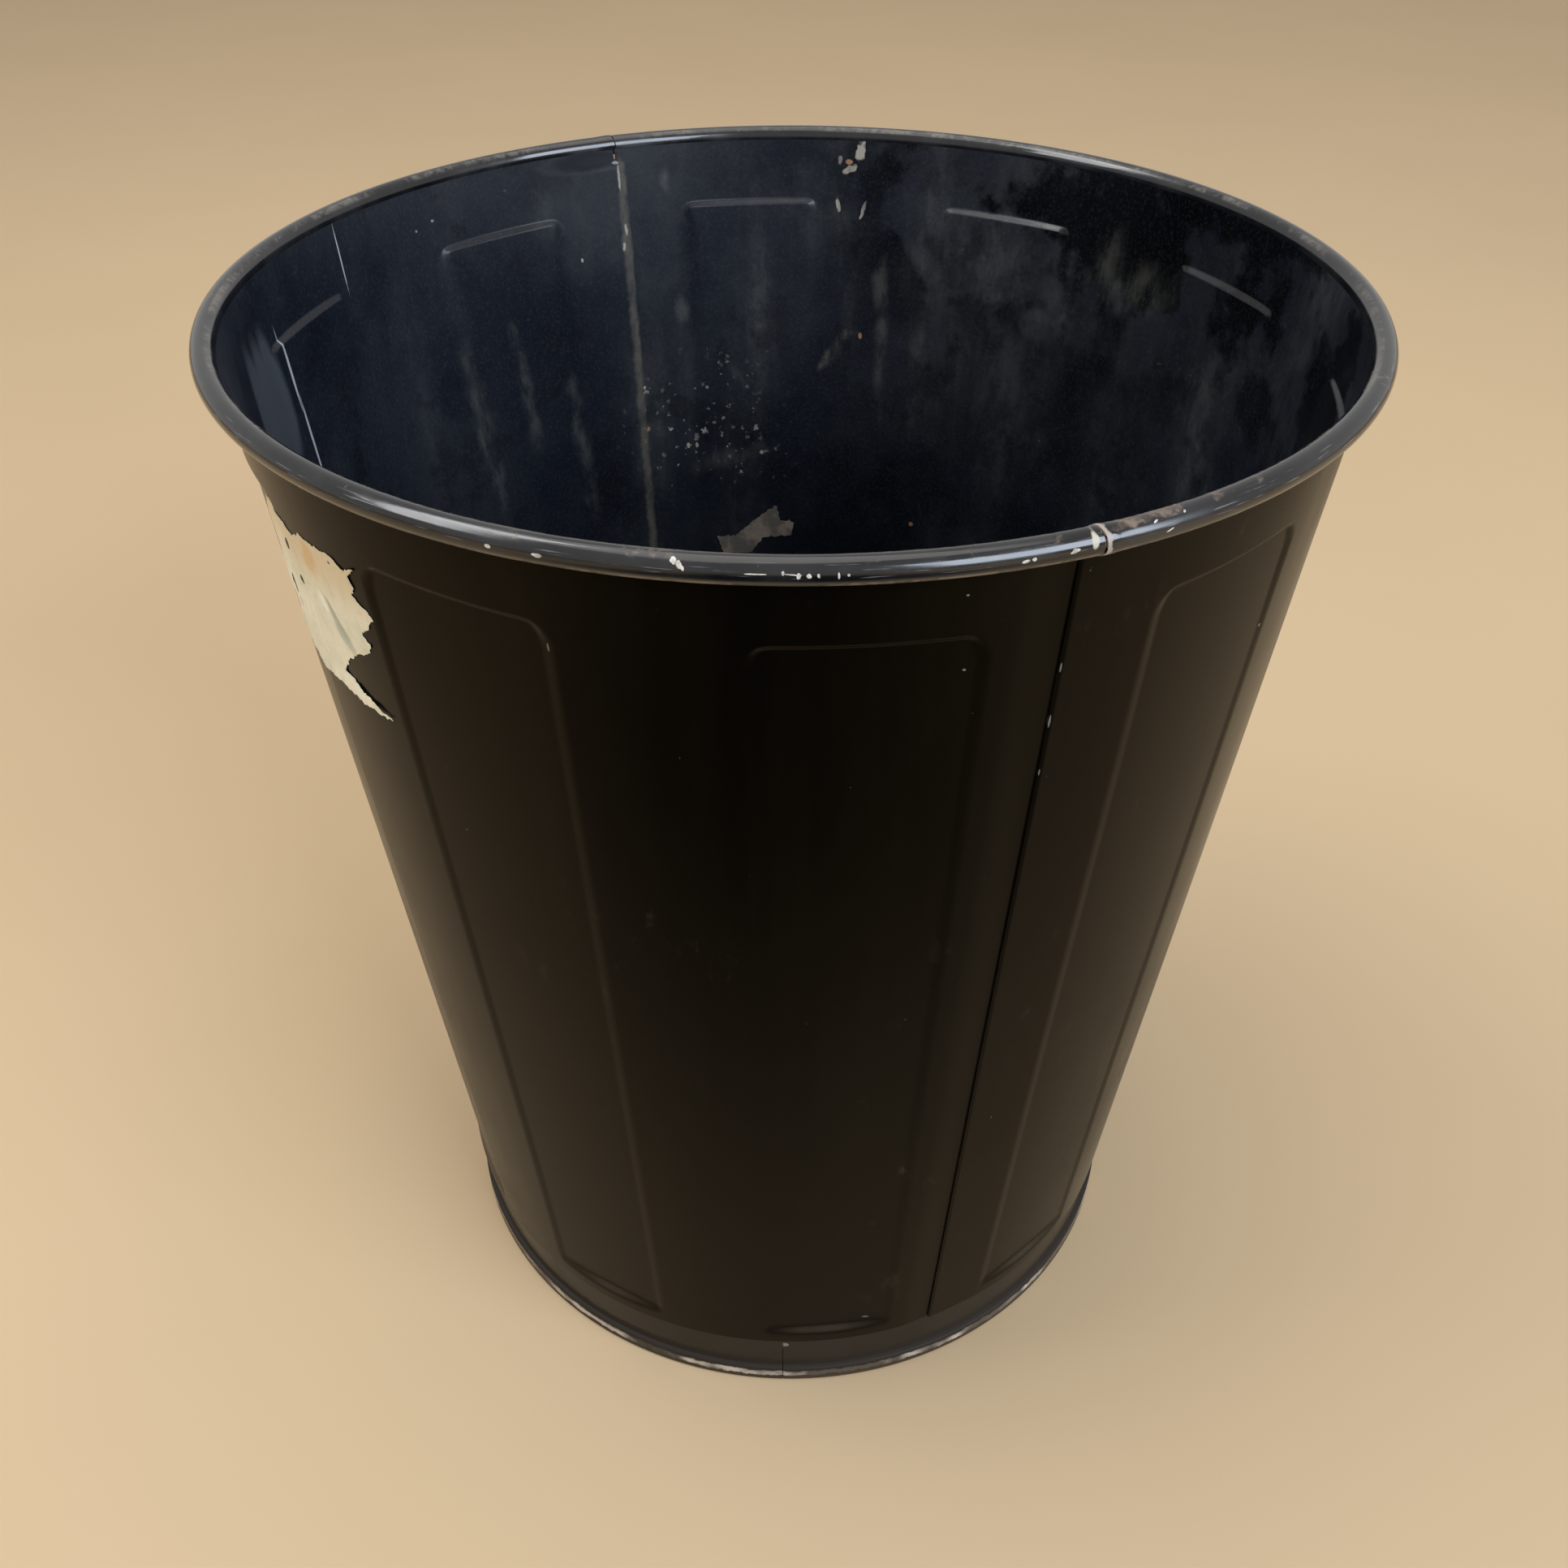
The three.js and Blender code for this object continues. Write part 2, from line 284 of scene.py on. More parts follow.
WALL_ROWS = stepped(
    (WALL_BOTTOM, PANEL_BOTTOM, 1.0),
    (PANEL_BOTTOM, PANEL_BOTTOM + FOOT_BEVEL, 0.65),
    (PANEL_BOTTOM + FOOT_BEVEL, 45, 2.4),
    (45, PANEL_TOP - 8, 11.5),
    (PANEL_TOP - 8, PANEL_TOP - 5, 1.0),
    (PANEL_TOP - 5, PANEL_TOP + 0.4, 0.3),
    (PANEL_TOP + 0.5, NOTCH_HEIGHT, 2.4),
    (NOTCH_HEIGHT, LAP_RETURN + 1.5, 1.0),
)
CURL_ANGLES = np.linspace(CURL_START, CURL_END, 30)


def shell(name, columns, first, last, lap, lift, materials):
    """Half shell of the can. first and last are (wall azimuth, rim azimuth) of its two ends,
    lap(azimuth) how far it is set in, and lift(azimuth) how far it stands out of round."""
    wall_azimuths = columns.copy()
    rim_azimuths = columns.copy()
    rim_azimuths[0], rim_azimuths[-1] = first[1], last[1]
    rim_azimuths = np.clip(rim_azimuths, first[1], last[1])
    points = []
    for side in (0, 1):
        on_wall = WALL_ROWS[None, :] <= NOTCH_HEIGHT
        azimuth = np.where(on_wall, wall_azimuths[:, None], rim_azimuths[:, None])
        height = np.broadcast_to(WALL_ROWS[None, :], azimuth.shape)
        set_in = SEAM_OFFSET * lap(azimuth) * (1 - smooth(height, NOTCH_HEIGHT, LAP_RETURN))
        fade = 1 - smooth(height, NOTCH_HEIGHT - 12, NOTCH_HEIGHT + 2)
        from_end = np.minimum(azimuth - azimuth[0], azimuth[-1] - azimuth)
        nearest = np.radians(from_end) * wall_radius(height)
        rounding = EDGE_ROUNDING * (1 - smooth(nearest, 0, 0.9)) if side else 0
        press = panel_press(azimuth, height, inner=side == 0)
        radius = wall_radius(height) - press - set_in - rounding
        radius = radius + lift(azimuth) * fade
        away_from_ends = (1 - smooth(height, 300, 345)) * smooth(height, 25, 60)
        radius = radius + unevenness(azimuth, height) * away_from_ends
        wall = on_circle(radius - (0 if side else SHEET), azimuth, height)

        angle = np.radians(CURL_ANGLES)[None, :]
        lip = rim_lip(rim_azimuths, first[1])[:, None]
        bead = BEAD_RADIUS + lip - (SHEET if side else 0)
        bend = JOINT_BEND * np.cos(angle) * end_weight(rim_azimuths, first[1], last[1])[:, None]
        curl = on_circle(
            RIM_RADIUS + bead * np.cos(angle),
            rim_azimuths[:, None] + bend,
            RIM_HEIGHT + bead * np.sin(angle),
        )
        points.append(np.concatenate([wall, curl], axis=1))
    stacked = np.stack(points)
    rows = stacked.shape[2]

    def slot_of(side, row):
        if side is None:
            return 2
        if row >= len(WALL_ROWS) - 1:
            return 2 if side == 0 else 0
        return 1 if side == 0 else 0

    faces, slots = sheet_faces(len(columns), rows, slot_of)
    return mesh_object(name, stacked.reshape(-1, 3), faces, materials, slots)


def end_weight(azimuths, first, last):
    """1 at the ends of a rim and 0 a few degrees in, so that its joints can curve."""
    nearest = np.minimum(np.abs(azimuths - first), np.abs(azimuths - last))
    return 1 - smooth(nearest, 0, 2.0)


def rim_lip(azimuths, first):
    """The rim swells a little where a shell starts at a joint."""
    return JOINT_LIP * (1 - smooth(azimuths - first, 0.5, 2.2))


# --- materials -----------------------------------------------------------------------------------


class Surface:
    """A node material with one Principled shader, and short ways to add nodes to it."""

    def __init__(self, name):
        self.material = bpy.data.materials.new(name)
        self.material.use_nodes = True
        self.tree = self.material.node_tree
        self.shader = self.tree.nodes["Principled BSDF"]
        self.position = self.node("TexCoord").outputs["Object"]

    def node(self, kind, inputs=None, **settings):
        made = self.tree.nodes.new("ShaderNode" + kind)
        for key, value in settings.items():
            setattr(made, key, value)
        for key, value in (inputs or {}).items():
            if isinstance(value, bpy.types.NodeSocket):
                self.tree.links.new(value, made.inputs[key])
            else:
                made.inputs[key].default_value = value
        return made

    def set(self, **inputs):
        """Sets or links inputs of the shader; underscores stand for spaces."""
        for key, value in inputs.items():
            socket = self.shader.inputs[key.replace("_", " ")]
            if isinstance(value, bpy.types.NodeSocket):
                self.tree.links.new(value, socket)
            else:
                socket.default_value = value

    def math(self, operation, *values):
        return self.node("Math", dict(enumerate(values)), operation=operation).outputs[0]

    def noise(self, scale, detail=3.0, roughness=0.55, stretch=(1, 1, 1), offset=0.0):
        moved = self.node(
            "Mapping",
            {"Vector": self.position, "Scale": stretch, "Location": (offset, 2 * offset, 3 * offset)},
        ).outputs[0]
        inputs = {"Vector": moved, "Scale": scale, "Detail": detail, "Roughness": roughness}
        return self.node("TexNoise", inputs).outputs["Fac"]

    def between(self, value, low, high, to_low=0.0, to_high=1.0):
        inputs = {0: value, 1: low, 2: high, 3: to_low, 4: to_high}
        return self.node("MapRange", inputs, interpolation_type="SMOOTHSTEP").outputs[0]

    def blend(self, factor, first, second):
        made = self.node("Mix", data_type="RGBA")
        for socket, value in zip((made.inputs[0], made.inputs[6], made.inputs[7]), (factor, first, second)):
            if isinstance(value, bpy.types.NodeSocket):
                self.tree.links.new(value, socket)
            elif socket.type == "RGBA":
                socket.default_value = (*value, 1.0)
            else:
                socket.default_value = value
        return made.outputs[2]

    def height(self):
        return self.node("SeparateXYZ", {0: self.position}).outputs[2]

    def normal_height(self):
        """How far up the surface faces, from -1 to 1."""
        normal = self.node("TexCoord").outputs["Normal"]
        return self.node("SeparateXYZ", {0: normal}).outputs[2]

    def bead_angle(self):
        """Degrees round the section of the rolled rim: 0 outside, 90 on top."""
        flat = self.node("VectorMath", {0: self.position, 1: (1, 1, 0)}, operation="MULTIPLY").outputs[0]
        radius = self.node("VectorMath", {0: flat}, operation="LENGTH").outputs["Value"]
        out = self.math("SUBTRACT", radius, RIM_RADIUS * MM)
        up = self.math("SUBTRACT", self.height(), RIM_HEIGHT * MM)
        return self.math("MULTIPLY", self.math("ARCTAN2", up, out), 180 / math.pi)

    def rim_streaks(self, turn):
        """Noise drawn out along the rim, for scratches that run round it."""
        split = self.node("SeparateXYZ", {0: self.position}).outputs
        azimuth = self.math("ARCTAN2", split[0], self.math("MULTIPLY", split[1], -1))
        along = self.math("MULTIPLY", azimuth, 14)
        across = self.math("MULTIPLY", turn, 0.12)
        place = self.node("CombineXYZ", {0: along, 1: across}).outputs[0]
        inputs = {"Vector": place, "Scale": 1.0, "Detail": 4.0}
        return self.node("TexNoise", inputs).outputs["Fac"]

    def window(self, value, start, full, end, stop):
        """1 between full and end, falling to 0 at start and stop."""
        rise = self.between(value, start, full)
        return self.math("MULTIPLY", rise, self.between(value, stop, end))

    def cover(self, mask, colour, roughness):
        """Lays a colour and a roughness over the surface where the mask is 1."""
        under = self.shader.inputs["Base Color"].links[0].from_socket
        self.set(Base_Color=self.blend(mask, under, colour))
        socket = self.shader.inputs["Roughness"]
        under = socket.links[0].from_socket if socket.links else socket.default_value
        mixed = self.node("Mix", {0: mask, 2: under, 3: roughness}, data_type="FLOAT")
        self.set(Roughness=mixed.outputs[0])

    def specks(self, scale, size, share, offset=0.0):
        """Sparse ragged specks of mixed size: share is the part of the cells that has one."""
        moved = self.node(
            "Mapping", {"Vector": self.position, "Location": (offset, offset, offset)},
        ).outputs[0]
        noise = self.node("TexNoise", {"Vector": self.position, "Scale": 3 * scale, "Detail": 2.0})
        shaken = self.node(
            "VectorMath", {0: noise.outputs["Color"], 1: (0.9 / scale,) * 3, 2: moved},
            operation="MULTIPLY_ADD",
        ).outputs[0]
        cells = self.node("TexVoronoi", {"Vector": shaken, "Scale": scale})
        chosen = self.node("SeparateColor", {0: cells.outputs["Color"]}).outputs
        limit = self.between(chosen[1], 0.0, 1.0, size * 0.35, size * 1.15)
        inside = self.math("DIVIDE", cells.outputs["Distance"], limit)
        kept = self.math("LESS_THAN", chosen[0], share)
        shown = self.math("MULTIPLY", kept, self.between(chosen[2], 0.0, 1.0, 0.3, 1.0))
        return self.math("MULTIPLY", self.between(inside, 1.0, 0.6), shown)

    def marks(self, spots, ragged=0.5, scale=300.0, soft=0.08):
        """Mask of ragged patches. Each spot is (centre, azimuth, width, height, tilt), with its
        centre in metres, its size in millimetres and its tilt in degrees in the sheet."""
        noise = self.node("TexNoise", {"Vector": self.position, "Scale": scale, "Detail": 3.0})
        centred = self.node(
            "VectorMath", {0: noise.outputs["Color"], 1: (0.5, 0.5, 0.5)}, operation="SUBTRACT",
        ).outputs[0]
        mask = None
        for centre, azimuth, width, height, tilt in spots:
            turn = Euler((0, math.radians(tilt), math.radians(azimuth)))
            local = self.node(
                "Mapping",
                {
                    "Vector": self.position,
                    "Location": tuple(centre),
                    "Rotation": turn,
                    "Scale": (width * MM / 2, 8 * MM, height * MM / 2),
                },
                vector_type="TEXTURE",
            ).outputs[0]
            shaken = self.node(
                "VectorMath", {0: centred, 1: (2 * ragged,) * 3, 2: local}, operation="MULTIPLY_ADD",
            ).outputs[0]
            length = self.node("VectorMath", {0: shaken}, operation="LENGTH").outputs["Value"]
            patch = self.between(length, 1 + soft, 1 - soft)
            mask = patch if mask is None else self.math("MAXIMUM", mask, patch)
        return mask

    def bump(self, height, distance, strength):
        inputs = {"Height": height, "Distance": distance, "Strength": strength}
        return self.node("Bump", inputs).outputs[0]


def spot_outside(azimuth, height, width, tall, tilt=0):
    return (on_circle(wall_radius(height), azimuth, height), azimuth, width, tall, tilt)


def spot_inside(azimuth, height, width, tall, tilt=0):
    return (on_circle(wall_radius(height) - SHEET, azimuth, height), azimuth, width, tall, tilt)


def spot_on_rim(azimuth, angle, width, tall, tilt=0):
    """A spot on the bead, angle degrees round its section from the outside over the top."""
    turn = math.radians(angle)
    radius = RIM_RADIUS + BEAD_RADIUS * math.cos(turn)
    height = RIM_HEIGHT + BEAD_RADIUS * math.sin(turn)
    return (on_circle(radius, azimuth, height), azimuth, width, tall, tilt)


def joint_side():
    """Direction along the rim at the front joint, towards the right shell."""
    angle = math.radians(FRONT_SEAM["joint"])
    return (math.cos(angle), math.sin(angle), 0.0)


def outer_paint():
    look = Surface("outer_paint")
    streaks = look.noise(26, detail=5, stretch=(1, 1, 0.06), offset=3)
    cloud = look.noise(9, detail=4, offset=1)
    base = look.blend(look.between(streaks, 0.35, 0.7), (0.0016, 0.0012, 0.0007), (0.0034, 0.0026, 0.0014))
    ledge = look.between(look.normal_height(), 0.02, 0.2)
    dust = look.math("MULTIPLY", ledge, look.between(streaks, 0.25, 0.6, 0.03, 0.075))
    base = look.blend(dust, base, (0.42, 0.36, 0.27))
    specks = look.math("MULTIPLY", look.specks(330, 0.09, 0.02), 0.22)
    base = look.blend(specks, base, (0.40, 0.38, 0.34))
    scuffs = look.noise(75, detail=6, roughness=0.75, stretch=(1, 1, 0.5), offset=27)
    scuffs = look.between(scuffs, 0.58, 0.74)
    scuffs = look.math("MULTIPLY", scuffs, look.between(cloud, 0.45, 0.65))
    base = look.blend(look.math("MULTIPLY", scuffs, 0.05), base, (0.30, 0.26, 0.20))
    rough = look.between(cloud, 0.3, 0.75, 0.2, 0.3)
    rough = look.math("ADD", rough, look.between(streaks, 0.4, 0.75, 0.0, 0.06))
    peel = look.noise(900, detail=2, offset=7)
    look.set(Base_Color=base, Roughness=rough, IOR=1.155, Normal=look.bump(peel, 0.00002, 0.35))
    look.set(Specular_Tint=(1.0, 0.80, 0.50, 1.0))
    chips = look.marks(
        [
            spot_outside(22.95, 319, 0.4, 2.6),
            spot_outside(22.9, 303, 0.5, 4.0),
            spot_outside(22.9, 287, 0.35, 2.0),
            spot_outside(14.2, 323, 0.9, 0.6, 20),
            spot_outside(13.6, 344, 0.7, 0.6, 20),
            spot_outside(-20.2, 326, 0.6, 2.6),
            spot_outside(51.5, 301, 0.7, 1.0),
            spot_outside(12.0, 36.5, 2.4, 0.8, 10),
        ],
        ragged=0.4,
    )
    look.cover(look.math("MULTIPLY", chips, 0.3), (0.34, 0.32, 0.28), 0.6)
    return look.material


def inner_paint():
    look = Surface("inner_paint")
    cloud = look.noise(11, detail=6, roughness=0.6, offset=2)
    drips = look.noise(45, detail=5, stretch=(1, 1, 0.08), offset=5)
    fine = look.noise(160, detail=4, roughness=0.7, stretch=(1, 1, 0.4), offset=9)
    grain = look.noise(900, detail=3, roughness=0.7, offset=21)
    base = look.blend(look.between(cloud, 0.35, 0.7), (0.0032, 0.0048, 0.0088), (0.0105, 0.0128, 0.0175))
    film = look.math("MULTIPLY", look.between(drips, 0.42, 0.75), look.between(cloud, 0.35, 0.7))
    film = look.math("MULTIPLY", film, look.between(fine, 0.35, 0.65, 0.3, 1.0))
    sides = look.node("SeparateXYZ", {0: look.position}).outputs
    film = look.math("MULTIPLY", film, look.between(sides[0], -0.13, -0.05, 0.4, 1.0))
    base = look.blend(look.math("MULTIPLY", film, 0.36), base, (0.115, 0.115, 0.11))
    blots = look.between(look.noise(34, detail=7, roughness=0.7, offset=31), 0.5, 0.62)
    base = look.blend(look.math("MULTIPLY", blots, 0.55), base, (0.0022, 0.0028, 0.0045))
    # Painted shade: near-black patches on the right inner wall, more of them towards the top, also made a
    # little glossier.
    right_side_painted_shade = look.between(look.noise(24, detail=5, roughness=0.6, offset=15), 0.44, 0.54)
    right_side_painted_shade = look.math("MULTIPLY", right_side_painted_shade, look.between(sides[0], -0.01, 0.06))
    right_side_painted_shade = look.math("MULTIPLY", right_side_painted_shade, look.between(look.height(), 0.27, 0.33, 0.25, 1.0))
    base = look.blend(look.math("MULTIPLY", right_side_painted_shade, 0.92), base, (0.0012, 0.0012, 0.0016))
    base = look.blend(look.between(grain, 0.45, 0.8, 0.0, 0.05), base, (0.20, 0.20, 0.20))
    rough = look.between(cloud, 0.3, 0.75, 0.30, 0.42)
    rough = look.math("SUBTRACT", rough, look.math("MULTIPLY", right_side_painted_shade, 0.2))
    peel = look.noise(700, detail=2, offset=7)
    look.set(Base_Color=base, Roughness=rough, IOR=1.36, Normal=look.bump(peel, 0.00002, 0.4))

    dirty = [spot_inside(194, 246, 62, 52), spot_inside(189, 232, 40, 20)]
    dirty = look.marks(dirty, ragged=0.5, scale=40.0, soft=0.5)
    large, small = look.specks(210, 0.3, 0.4, offset=0.3), look.specks(390, 0.34, 0.45, offset=0.5)
    crumbs = look.math("MULTIPLY", look.math("MAXIMUM", large, small), dirty)
    crumbs = look.math("MULTIPLY", crumbs, look.between(fine, 0.35, 0.65, 0.1, 0.9))
    look.cover(crumbs, (0.30, 0.30, 0.28), 0.7)
    sparse = look.math("MULTIPLY", look.specks(150, 0.09, 0.07, offset=0.9), look.between(cloud, 0.4, 0.6))
    look.cover(look.math("MULTIPLY", sparse, 0.35), (0.26, 0.26, 0.25), 0.7)

    smears = look.marks(
        [
            spot_inside(129.5, 318, 26, 14, 20),
            spot_inside(134.5, 322, 10, 22, -12),
            spot_inside(197.4, 342, 4, 7),
            spot_inside(196.0, 295, 4, 9),
            spot_inside(188.3, 266, 3, 9, 35),
            spot_inside(229.5, 258, 6, 60, 3),
            spot_inside(221.7, 275, 5, 40, 3),
            spot_inside(213.5, 248, 6, 44, 3),
            spot_inside(190.5, 232, 24, 6, 12),
            spot_inside(167.5, 300, 5, 12, 5),
            spot_inside(166.8, 282, 4, 50, 2),
        ],
        ragged=1.2, scale=90.0, soft=0.8,
    )
    smears = look.math("MULTIPLY", smears, look.between(fine, 0.35, 0.65, 0.02, 0.34))
    look.cover(smears, (0.085, 0.085, 0.075), 0.6)

    soiled = look.marks([spot_inside(173.5, 277, 4, 15, -35)], ragged=1.8, scale=160.0, soft=0.9)
    soiled = look.math("MULTIPLY", soiled, look.between(fine, 0.35, 0.65, 0.05, 0.4))
    look.cover(soiled, (0.16, 0.14, 0.11), 0.7)

    # Painted reflection: a grey-blue facet on the left inner wall.
    painted_reflection_facet = [spot_inside(azimuth, 318, 12, 44, 3) for azimuth in (268.4, 271.0, 273.6)]
    painted_reflection_facet = look.marks(painted_reflection_facet, ragged=0.25, scale=60.0, soft=0.25)
    look.cover(look.math("MULTIPLY", painted_reflection_facet, 0.35), (0.085, 0.095, 0.11), 0.5)
    # Painted shade: a dark, rough patch over the back lap just below the rim, which hides the light it
    # would catch.
    painted_shade_below_rim = look.marks([spot_inside(208.2, 351.0, 30, 7, 0)], ragged=0.2, soft=0.4)
    look.cover(look.math("MULTIPLY", painted_shade_below_rim, 0.9), (0.007, 0.008, 0.011), 0.9)

    edge = [spot_inside(203.5, height, 3.2, 52, 0) for height in (325, 285, 245, 210)]
    edge = look.marks(edge, ragged=0.8, scale=200.0, soft=0.6)
    edge = look.math("MULTIPLY", edge, look.between(fine, 0.3, 0.7, 0.2, 0.6))
    look.cover(edge, (0.10, 0.09, 0.065), 0.7)

    scratches = look.marks(
        [
            spot_inside(264.6, 323, 1.3, 24, 2),
            spot_inside(264.0, 300, 1.2, 26, 2),
            spot_inside(247.7, 343, 0.6, 20, 0),
        ],
        ragged=0.25, soft=0.3,
    )
    look.cover(look.math("MULTIPLY", scratches, 0.75), (0.34, 0.35, 0.37), 0.5)

    chips = look.marks(
        [
            spot_inside(203.9, 344, 0.9, 10, 0),
            spot_inside(204.2, 349.5, 2.4, 1.0, 0),
            spot_inside(203.5, 326, 1.2, 3.4),
            spot_inside(204.0, 319.6, 1.1, 2.8),
            spot_inside(231.5, 342.7, 1.4, 1.0),
            spot_inside(234.3, 341, 0.9, 0.8),
            spot_inside(210.2, 317, 0.9, 1.2),
            spot_inside(196.5, 239.1, 1.3, 2.0),
            spot_inside(195.2, 238.7, 1.4, 2.0),
            spot_inside(192.3, 247.7, 1.5, 1.2),
            spot_inside(202.8, 265.2, 1.2, 1.4),
            spot_inside(184.9, 234.1, 1.5, 1.6),
            spot_inside(171.0, 350, 3.2, 7.0, -8),
            spot_inside(172.4, 343.8, 5.2, 2.6, 24),
            spot_inside(173.7, 347.0, 1.8, 3.6, 0),
            spot_inside(173.8, 331, 1.5, 4.5, 10),
            spot_inside(170.4, 329, 1.2, 6.5, -16),
        ],
        ragged=0.9, scale=420.0, soft=0.2,
    )
    chips = look.math("MULTIPLY", chips, look.between(fine, 0.3, 0.6, 0.3, 0.9))
    look.cover(chips, (0.27, 0.24, 0.195), 0.7)

    rust = look.marks(
        [
            spot_inside(202.7, 248.2, 1.8, 1.8),
            spot_inside(170.0, 282.1, 1.5, 2.6),
            spot_inside(160.1, 206.5, 1.7, 1.7),
            spot_inside(172.5, 346.5, 2.6, 2.0),
        ],
        ragged=0.6, soft=0.3,
    )
    look.cover(look.math("MULTIPLY", rust, 0.7), (0.30, 0.15, 0.08), 0.8)
    return look.material


def rim_paint():
    look = Surface("rim_paint")
    cloud = look.noise(60, detail=5, offset=4)
    fine = look.noise(420, detail=4, roughness=0.65, offset=9)
    base = look.blend(look.between(cloud, 0.4, 0.7), (0.003, 0.0034, 0.0045), (0.009, 0.0092, 0.0105))
    rough = look.between(cloud, 0.3, 0.75, 0.10, 0.24)
    peel = look.noise(110, detail=2, offset=7)
    look.set(Base_Color=base, Roughness=rough, IOR=1.58, Normal=look.bump(peel, 0.0001, 0.3))

    turn = look.bead_angle()
    drawn = look.rim_streaks(turn)
    upper = look.math("MULTIPLY", look.window(turn, -15, 0, 40, 70), 0.35)
    streaks = look.math("MULTIPLY", look.between(drawn, 0.60, 0.70), upper)
    look.cover(streaks, (0.24, 0.24, 0.24), 0.5)
    long_wear = look.noise(38, detail=5, roughness=0.65, offset=12)
    ragged = look.math("ADD", look.math("MULTIPLY", fine, 0.5), long_wear)
    inner_line = look.window(turn, 98, 112, 128, 150)
    worn = look.math("MULTIPLY", inner_line, look.between(ragged, 0.68, 0.92))
    look.cover(look.math("MULTIPLY", worn, 0.35), (0.20, 0.18, 0.15), 0.6)
    edge_line = look.window(turn, -72, -58, -38, -24)
    look.cover(look.math("MULTIPLY", edge_line, 0.5), (0.09, 0.07, 0.05), 0.6)
    scuffed = look.math("MULTIPLY", edge_line, look.between(ragged, 0.74, 0.9))
    look.cover(look.math("MULTIPLY", scuffed, 0.7), (0.19, 0.15, 0.11), 0.7)
    top = look.window(turn, 40, 62, 100, 125)
    rusty = look.math("MULTIPLY", top, look.between(ragged, 0.88, 1.02))
    look.cover(look.math("MULTIPLY", rusty, 0.6), (0.15, 0.10, 0.07), 0.75)

    rust = look.marks(
        [
            spot_on_rim(25.6, 112, 8.0, 1.0, 0),
            spot_on_rim(29.0, 104, 8.0, 0.9, 0),
            spot_on_rim(30.4, 84, 3.0, 0.8, -12),
            spot_on_rim(34.4, 96, 3.0, 0.8, -12),
            spot_on_rim(39.2, 98, 2.4, 0.7, -12),
        ],
        ragged=1.4, scale=520.0, soft=0.5,
    )
    rust = look.math("MULTIPLY", rust, look.between(fine, 0.35, 0.65, 0.1, 0.6))
    look.cover(rust, (0.19, 0.13, 0.09), 0.7)

    joint = FRONT_SEAM["joint"]
    lip = look.marks(
        [(on_circle(RIM_RADIUS + 1.2, joint, RIM_HEIGHT + 1.6), joint, 12, 9.4, 0)],
        ragged=0.3, scale=420.0, soft=0.25,
    )
    along = look.node("VectorMath", {0: look.position, 1: joint_side()}, operation="DOT_PRODUCT")
    bend = look.math("COSINE", look.math("MULTIPLY", turn, math.pi / 180))
    bend = look.math("MULTIPLY", bend, JOINT_BEND_LENGTH)
    past_joint = look.math("SUBTRACT", along.outputs["Value"], bend)
    past_joint = look.math("ADD", past_joint, look.between(fine, 0.3, 0.7, -0.0004, 0.0004))
    lip = look.math("MULTIPLY", lip, look.window(past_joint, 0.0, 0.0002, 0.0012, 0.0018))
    look.cover(look.math("MULTIPLY", lip, 0.85), (0.29, 0.24, 0.205), 0.6)

    # Light paint chips on the rim, with two painted glints among them.
    chips = look.marks(
        [
            spot_on_rim(-8.35, 46, 1.3, 1.1, 12),
            spot_on_rim(-7.95, 32, 1.1, 1.9, -30),
            spot_on_rim(-7.7, 22, 0.7, 1.1, -30),
            spot_on_rim(0.5, 6, 0.9, 1.5, 10),
            spot_on_rim(1.2, 7, 1.1, 1.1, 20),
            spot_on_rim(1.9, 8, 0.7, 0.9),
            spot_on_rim(3.3, 6, 0.5, 1.5),
            spot_on_rim(4.0, 8, 0.6, 0.6),
            spot_on_rim(-0.6, 18, 0.6, 0.9),
            spot_on_rim(-2.6, 13, 5.0, 0.32, 0),
            spot_on_rim(0.2, 12, 4.0, 0.28, 4),
            spot_on_rim(16.9, 0, 1.7, 0.7, -14),
            spot_on_rim(17.5, 4, 1.0, 0.9, -30),
            spot_on_rim(20.8, 8, 2.3, 0.9, -16),
            spot_on_rim(20.7, 12, 0.9, 1.0, 10),
            # Painted glints: the next two light marks stand for glints, not chips.
            spot_on_rim(27.8, 50, 1.2, 0.3, -14),
            spot_on_rim(30.6, 58, 0.8, 0.35, -14),
            spot_on_rim(29.0, 4, 2.0, 0.35, -18),
            spot_on_rim(-42.0, -30, 0.9, 0.8),
            spot_on_rim(-40.6, -38, 2.4, 0.4, 14),
            spot_on_rim(-18.5, 4, 2.6, 0.9, 8),
            spot_on_rim(-22.5, 4, 1.4, 0.9, 8),
        ],
        ragged=0.8, scale=620.0, soft=0.12,
    )
    chips = look.math("MULTIPLY", chips, look.between(fine, 0.3, 0.6, 0.35, 1.0))
    look.cover(chips, (0.50, 0.47, 0.41), 0.6)
    dull = look.marks([spot_on_rim(22.45, 30, 1.7, 3.2, 6)], ragged=0.35, scale=420.0, soft=0.2)
    look.cover(look.math("MULTIPLY", dull, 0.9), (0.38, 0.34, 0.27), 0.6)
    specks = look.math("MULTIPLY", look.specks(330, 0.10, 0.04, offset=0.7), 0.5)
    look.cover(specks, (0.30, 0.28, 0.25), 0.6)
    return look.material


